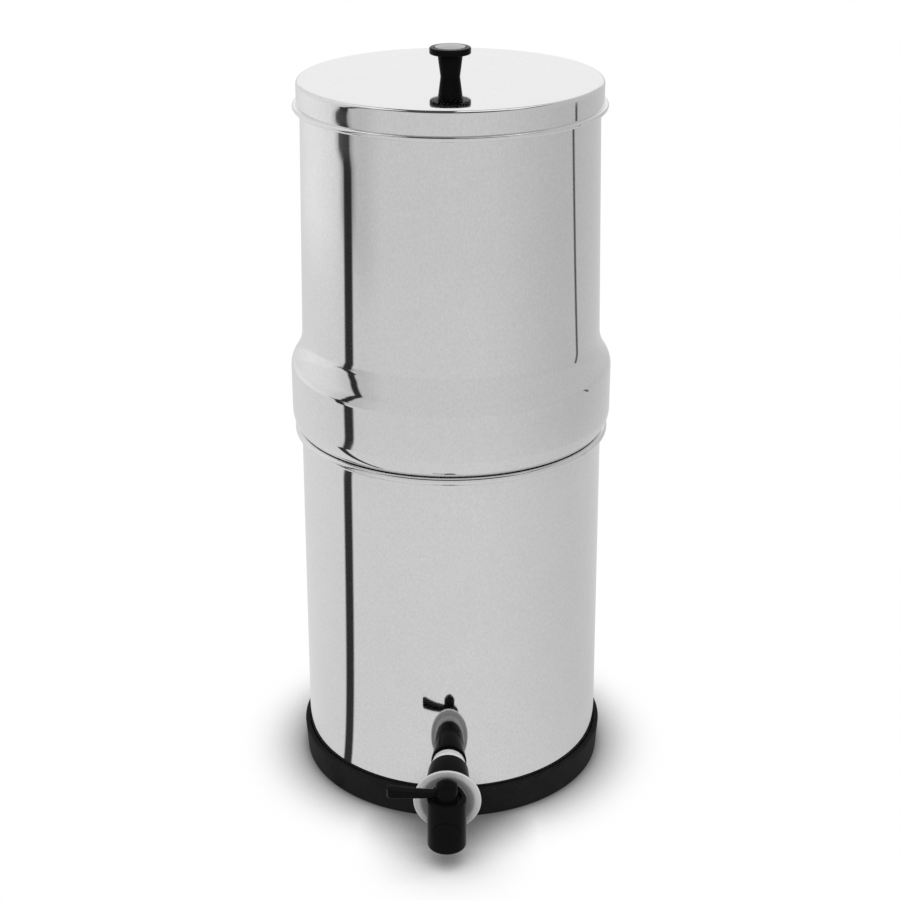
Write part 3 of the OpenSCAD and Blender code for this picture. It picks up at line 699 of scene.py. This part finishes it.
def make_lever():
    """Lever: a domed hub on the key's square, and a blade that thickens to a round end."""
    low, high = box_mm("tap_lever")
    at_valve = valve_place()[0]
    place = Matrix.Translation((0, at_valve.translation.y, low.z * MM))
    height = high.z - low.z
    dome_r = (HUB_R ** 2 + HUB_DOME ** 2) / (2 * HUB_DOME)
    reach = degrees(asin(HUB_R / dome_r))
    hub = [(0, 0), (HUB_R, 0)] + arc((0, height - dome_r), dome_r, 90 - reach, 90, 20)
    piece = as_object("tap_lever_skin", lathe(hub, place=place))

    length, tip_r, stations, around = -low.x, LEVER_TIP_W / 2, 36, 8
    bm = bmesh.new()
    loops = []
    for i in range(stations + 1):
        reach = length * (1 - (1 - i / stations) ** 1.6)
        thick = LEVER_ROOT_T + (LEVER_TIP_T - LEVER_ROOT_T) * (reach / length) ** 2
        past = max(0.0, reach - (length - tip_r))
        half = LEVER_ROOT_W / 2 + (tip_r - LEVER_ROOT_W / 2) * min(1.0, reach / (length - tip_r))
        if past > 0:
            half = max(0.25, (max(0.0, tip_r ** 2 - past ** 2)) ** 0.5)
        edge = min(LEVER_EDGE, half * 0.8)
        corners = ((half - edge, edge, -90), (half - edge, thick - edge, 0),
                   (edge - half, thick - edge, 90), (edge - half, edge, 180))
        loop = []
        for y, z, start in corners:
            for py, pz in arc((y, z), edge, start, start + 90, around):
                loop.append(bm.verts.new((-reach * MM, py * MM, (pz + LEVER_LIFT) * MM)))
        loops.append(loop)
    for first, second in zip(loops, loops[1:]):
        for i in range(len(first)):
            j = (i + 1) % len(first)
            bm.faces.new((first[i], first[j], second[j], second[i]))
    bm.faces.new(loops[0])
    bm.faces.new(loops[-1])
    bmesh.ops.recalc_face_normals(bm, faces=bm.faces)
    bmesh.ops.transform(bm, matrix=place, verts=bm.verts)
    combine(piece, as_object("blade", bm), "UNION")
    drill_out(piece, rod(LEVER_SOCKET / 2 * 2 ** 0.5, -1, LEVER_SOCKET_H), 4,
              place @ Matrix.Rotation(radians(45), 4, "Z"))
    drill_out(piece, rod(KEY_STEM_HOLE_R, -1, KEY_STEM_HOLE_H), 64, place)
    return finish_piece(piece, "tap_lever", 50)


make_lid()
make_upper_chamber()
make_lower_chamber()
make_base_ring()
make_knob()
make_knob_cap()
make_outer_seal()
make_sleeve()
make_collar()
make_tap_body()
make_lever()


# ---------- Carried-over nodes ----------

for name, shown in frame["nodes"].items():
    shown.data.materials.clear()
    shown.data.materials.append(FINISHES[SLOTS[name]])


# ---------- Stage, light and camera ----------

# The floor's contact shadow: its reach in metres, the way it leans, and its darkest tone
SHADOW_REACH = 0.060
SHADOW_LEAN = (0, 0.2, 0.98)
SHADOW_FROM = 0.40
SHADOW_TONE = 0.11

# The shade that the steel sees on the floor close to the filter: from and to which openness, and its tones
CLOSE_SHADE = (0.25, 0.9, 0.3, 1.0)

# Half width of the floor, in metres
FLOOR_HALF = 8

# The studio that the steel mirrors: a window on the left, a dim right side and a shaded gap beside
# the dark stripe, each with its bearing in degrees from the tap's line towards +X and its half width
WINDOW = (-122, 64)
DIM_SIDE = (98, 84)
GAP = (-72, 26)

# Plain level of the studio, then how far the window lifts it and the dim side and the gap lower it:
# on the floor close by, at middle distance and far off, and on the walls
CLOSE_BY = (0.70, 0.05, 0.09, 0.00)
MIDWAY = (0.67, 0.08, 0.13, 0.02)
FAR_OFF = (0.65, 0.22, 0.12, 0.13)
WALLS = (0.65, 0.17, 0.10, 0.11)

# Distances on the floor, in metres, over which the first plan gives way to the second and the third
TO_MIDWAY = (0.60, 0.85)
TO_FAR_OFF = (1.20, 1.75)

# The white wall at the back: the bearings and the heights over which it begins, and its tone
BACK_BEARINGS = (146, 164)
BACK_HEIGHTS = (0.02, 0.10)
BACK_TONE = 0.955

# The roof: its tone, where it begins, and its two bright panels from low to high across, then along
ROOF_TONE = 0.07
ROOF_HEIGHTS = (0.72, 0.78)
PANEL_TONE = 0.95
PANELS = ((0.015, 0.55, -0.12, 0.5), (-0.64, -0.28, -0.12, 0.5))

# The dark stripe on the left: where it starts on the floor, its bearing close by, beside the
# filter and far off, its half width, its soft rim and its tone. It turns a little towards the
# horizon, and has a pale edge and a wider, turned end; the reaches are metres from its start.
STRIPE_FROM = (-0.031, -0.068)
STRIPE_BEARINGS = (-83.8, -75.5, -82.0)
STRIPE_HALF = 3.2
STRIPE_SOFT = 2.2
STRIPE_TONE = 0.045
STRIPE_TURN = 5.0
STRIPE_EDGE = 7.0
STRIPE_END_TURN = 3.5
STRIPE_END_SPREAD = 1.6
STRIPE_END_TONE = 0.05
STRIPE_EDGE_DEPTH = 0.45
STRIPE_NARROWING = 1.0
SECOND_BEARING_REACH = (0.63, 0.72)
THIRD_BEARING_REACH = (0.84, 1.00)
STRIPE_EDGE_REACH = (1.45, 1.90)
STRIPE_END_REACH = (2.12, 2.28)
STRIPE_END_STOP = (2.42, 2.70)
STRIPE_TURN_REACH = (2.5, 5.0)
STRIPE_TURN_HEIGHTS = (-0.03, 0.20)

# The thin dark stripe on the right
SLIT_FROM = (0.0, 0.128)
SLIT_BEARING = 102.0
SLIT_HALF = 0.8
SLIT_SOFT = 1.0
SLIT_DEPTH = 0.85
SLIT_START = (0.95, 1.02)
SLIT_STOP = (2.5, 2.8)


def bearing_of(across, along):
    """Bearing of the direction (across, along), in degrees from -Y towards +X."""
    return across.angle_to(0 - along) * degrees(1)


def fading(value, limits):
    """Eases from one to nothing between two limits."""
    return value.step(*limits, 1.0, 0.0)


def hump(bearing, middle, half):
    """One at a bearing, easing to nothing on both sides of it."""
    return (bearing - middle).absolute().step(0, half, 1.0, 0.0)


def studio(bearing, plan):
    """Brightness of the studio at a bearing, from its level, window, dim side and gap."""
    level, lift, dim, shade = plan
    return (level + lift * hump(bearing, *WINDOW) - dim * hump(bearing, *DIM_SIDE)
            - shade * hump(bearing, *GAP))


def blend(factor, first, second):
    return first * (1 - factor) + second * factor


def stripe(bearing, middle, half, soft, depth):
    """One, less depth inside a stripe about a bearing."""
    return (bearing - middle).absolute().step(half, half + soft, 1 - depth, 1.0)


def make_floor():
    """White floor that keeps the object's shadow, and shows a pale studio to the steel."""
    bm = bmesh.new()
    bmesh.ops.create_grid(bm, x_segments=1, y_segments=1, size=FLOOR_HALF)
    floor = as_object("floor", bm)
    n = Nodes(bpy.data.materials.new("floor"))
    camera_ray = n.node("LightPath", out="Is Camera Ray")
    glossy_ray = camera_ray.beside("Is Glossy Ray")
    across = n.node("SeparateXYZ", None, {0: n.place()})
    along = across.beside("Y")
    occlusion = n.node("AmbientOcclusion", {"samples": 24}, {"Distance": SHADOW_REACH, "Normal": SHADOW_LEAN},
                       out="AO")
    seen = occlusion.step(SHADOW_FROM, 1.0, SHADOW_TONE, 1.0)
    shown = n.node("Emission", None, {"Color": n.mix(seen, grey(0), grey(1)), "Strength": 1.0})

    distance = (across * across + along * along) ** 0.5
    bearing = bearing_of(across, along)
    tone = blend(distance.step(*TO_MIDWAY), studio(bearing, CLOSE_BY), studio(bearing, MIDWAY))
    tone = blend(distance.step(*TO_FAR_OFF), tone, studio(bearing, FAR_OFF))
    dark_x, dark_y = across - STRIPE_FROM[0], along - STRIPE_FROM[1]
    reach = (dark_x * dark_x + dark_y * dark_y) ** 0.5
    first, second, third = STRIPE_BEARINGS
    middle = (first + (second - first) * reach.step(*SECOND_BEARING_REACH)
              + (third - second) * reach.step(*THIRD_BEARING_REACH))
    end = reach.step(*STRIPE_END_REACH) * fading(reach, STRIPE_END_STOP)
    middle = middle - STRIPE_END_TURN * end + STRIPE_TURN * reach.step(*STRIPE_TURN_REACH)
    aside = (bearing_of(dark_x, dark_y) - middle).absolute() - STRIPE_END_SPREAD * end
    dark = fading(aside, (STRIPE_HALF, STRIPE_HALF + STRIPE_SOFT))
    tone = tone * (1 - (1 - STRIPE_TONE - STRIPE_END_TONE * end) * dark)
    edge = fading(aside, (STRIPE_HALF, STRIPE_HALF + STRIPE_EDGE)) * (1 - dark)
    edge = edge * reach.step(*STRIPE_EDGE_REACH) * fading(reach, STRIPE_END_STOP)
    tone = tone * (1 - STRIPE_EDGE_DEPTH * edge)
    slit_bearing = bearing_of(across - SLIT_FROM[0], along - SLIT_FROM[1])
    slit = stripe(slit_bearing, SLIT_BEARING, SLIT_HALF, SLIT_SOFT, SLIT_DEPTH)
    tone = tone * (1 - (1 - slit) * distance.step(*SLIT_START) * fading(distance, SLIT_STOP))
    close = occlusion.step(*CLOSE_SHADE)
    mirrored = n.node("Emission", None, {"Color": n.mix(tone * close, grey(0), grey(1)), "Strength": 1.0})
    plain = n.node("BsdfDiffuse", None, {"Color": grey(0.8)})
    inner = n.node("MixShader", None, {0: glossy_ray, 1: plain, 2: mirrored})
    n.surface(n.node("MixShader", None, {0: camera_ray, 1: inner, 2: shown}))
    floor.data.materials.append(n.owner)


def panel(across, along, low_x, high_x, low_y, high_y, soft=0.03):
    """One inside a soft-edged rectangle overhead."""
    return (across.step(low_x, low_x + soft) * (1 - across.step(high_x - soft, high_x))
            * along.step(low_y, low_y + soft) * (1 - along.step(high_y - soft, high_y)))


def make_world():
    """White backdrop; to the steel it is a pale studio with a bright back wall and a dark ceiling."""
    world = bpy.data.worlds.new("studio")
    bpy.context.scene.world = world
    n = Nodes(world)
    camera_ray = n.node("LightPath", out="Is Camera Ray")
    glossy_ray = camera_ray.beside("Is Glossy Ray")
    across = n.node("SeparateXYZ", None, {0: n.node("TexCoord", out="Generated")})
    along, up = across.beside("Y"), across.beside("Z")
    bearing = bearing_of(across, along)
    side = studio(bearing, WALLS)
    middle = STRIPE_BEARINGS[2] + STRIPE_TURN * (1 + 0.5 * up.step(*STRIPE_TURN_HEIGHTS))
    side = side * stripe(bearing, middle, STRIPE_HALF - STRIPE_NARROWING, STRIPE_SOFT, 1 - STRIPE_TONE)
    back = bearing.absolute().step(*BACK_BEARINGS) * up.step(*BACK_HEIGHTS)
    side = blend(back, side, BACK_TONE)
    roof = ROOF_TONE + sum(PANEL_TONE * panel(across, along, *edges) for edges in PANELS)
    tone = blend(up.step(*ROOF_HEIGHTS), side, roof)
    mirrored = n.node("Background", None, {"Color": n.mix(tone, grey(0), grey(1)), "Strength": 1.0})
    seen = n.node("Background", None, {"Color": grey(1), "Strength": 1.0})
    ambient = n.node("Background", None, {"Color": grey(1), "Strength": 0.75})
    inner = n.node("MixShader", None, {0: glossy_ray, 1: ambient, 2: mirrored})
    n.surface(n.node("MixShader", None, {0: camera_ray, 1: inner, 2: seen}))


def lamp(name, place, aim, size, power):
    data = bpy.data.lights.new(name, "AREA")
    data.size, data.energy = size, power
    made = bpy.data.objects.new(name, data)
    made.location = place
    made.rotation_euler = (Vector(aim) - Vector(place)).to_track_quat("-Z", "Y").to_euler()
    bpy.context.scene.collection.objects.link(made)
    return made


def make_camera():
    """Camera a little right of the tap's line, above the lid, looking down at the middle."""
    bearing, pitch, roll = radians(1.3), radians(23.05), radians(-0.15)
    distance, height = 1.2437, 0.76995
    data = bpy.data.cameras.new("camera")
    data.sensor_width, data.lens = 36, 74.5
    data.shift_x = -1.24 / 900
    camera = bpy.data.objects.new("camera", data)
    camera.location = (distance * sin(bearing), -distance * cos(bearing), height)
    turn = Matrix.Rotation(bearing, 4, "Z") @ Matrix.Rotation(radians(90) - pitch, 4, "X")
    camera.rotation_euler = (turn @ Matrix.Rotation(roll, 4, "Z")).to_euler()
    bpy.context.scene.collection.objects.link(camera)
    bpy.context.scene.camera = camera


make_floor()
make_world()
key = lamp("key_lamp", (-0.9, -1.1, 1.6), (0, 0, 0.25), 0.9, 12)
fill = lamp("fill_lamp", (1.3, -0.6, 1.0), (0, 0, 0.2), 0.9, 6)
for each in (key, fill):
    each.visible_glossy = False
make_camera()
bpy.context.scene.view_settings.view_transform = "Standard"
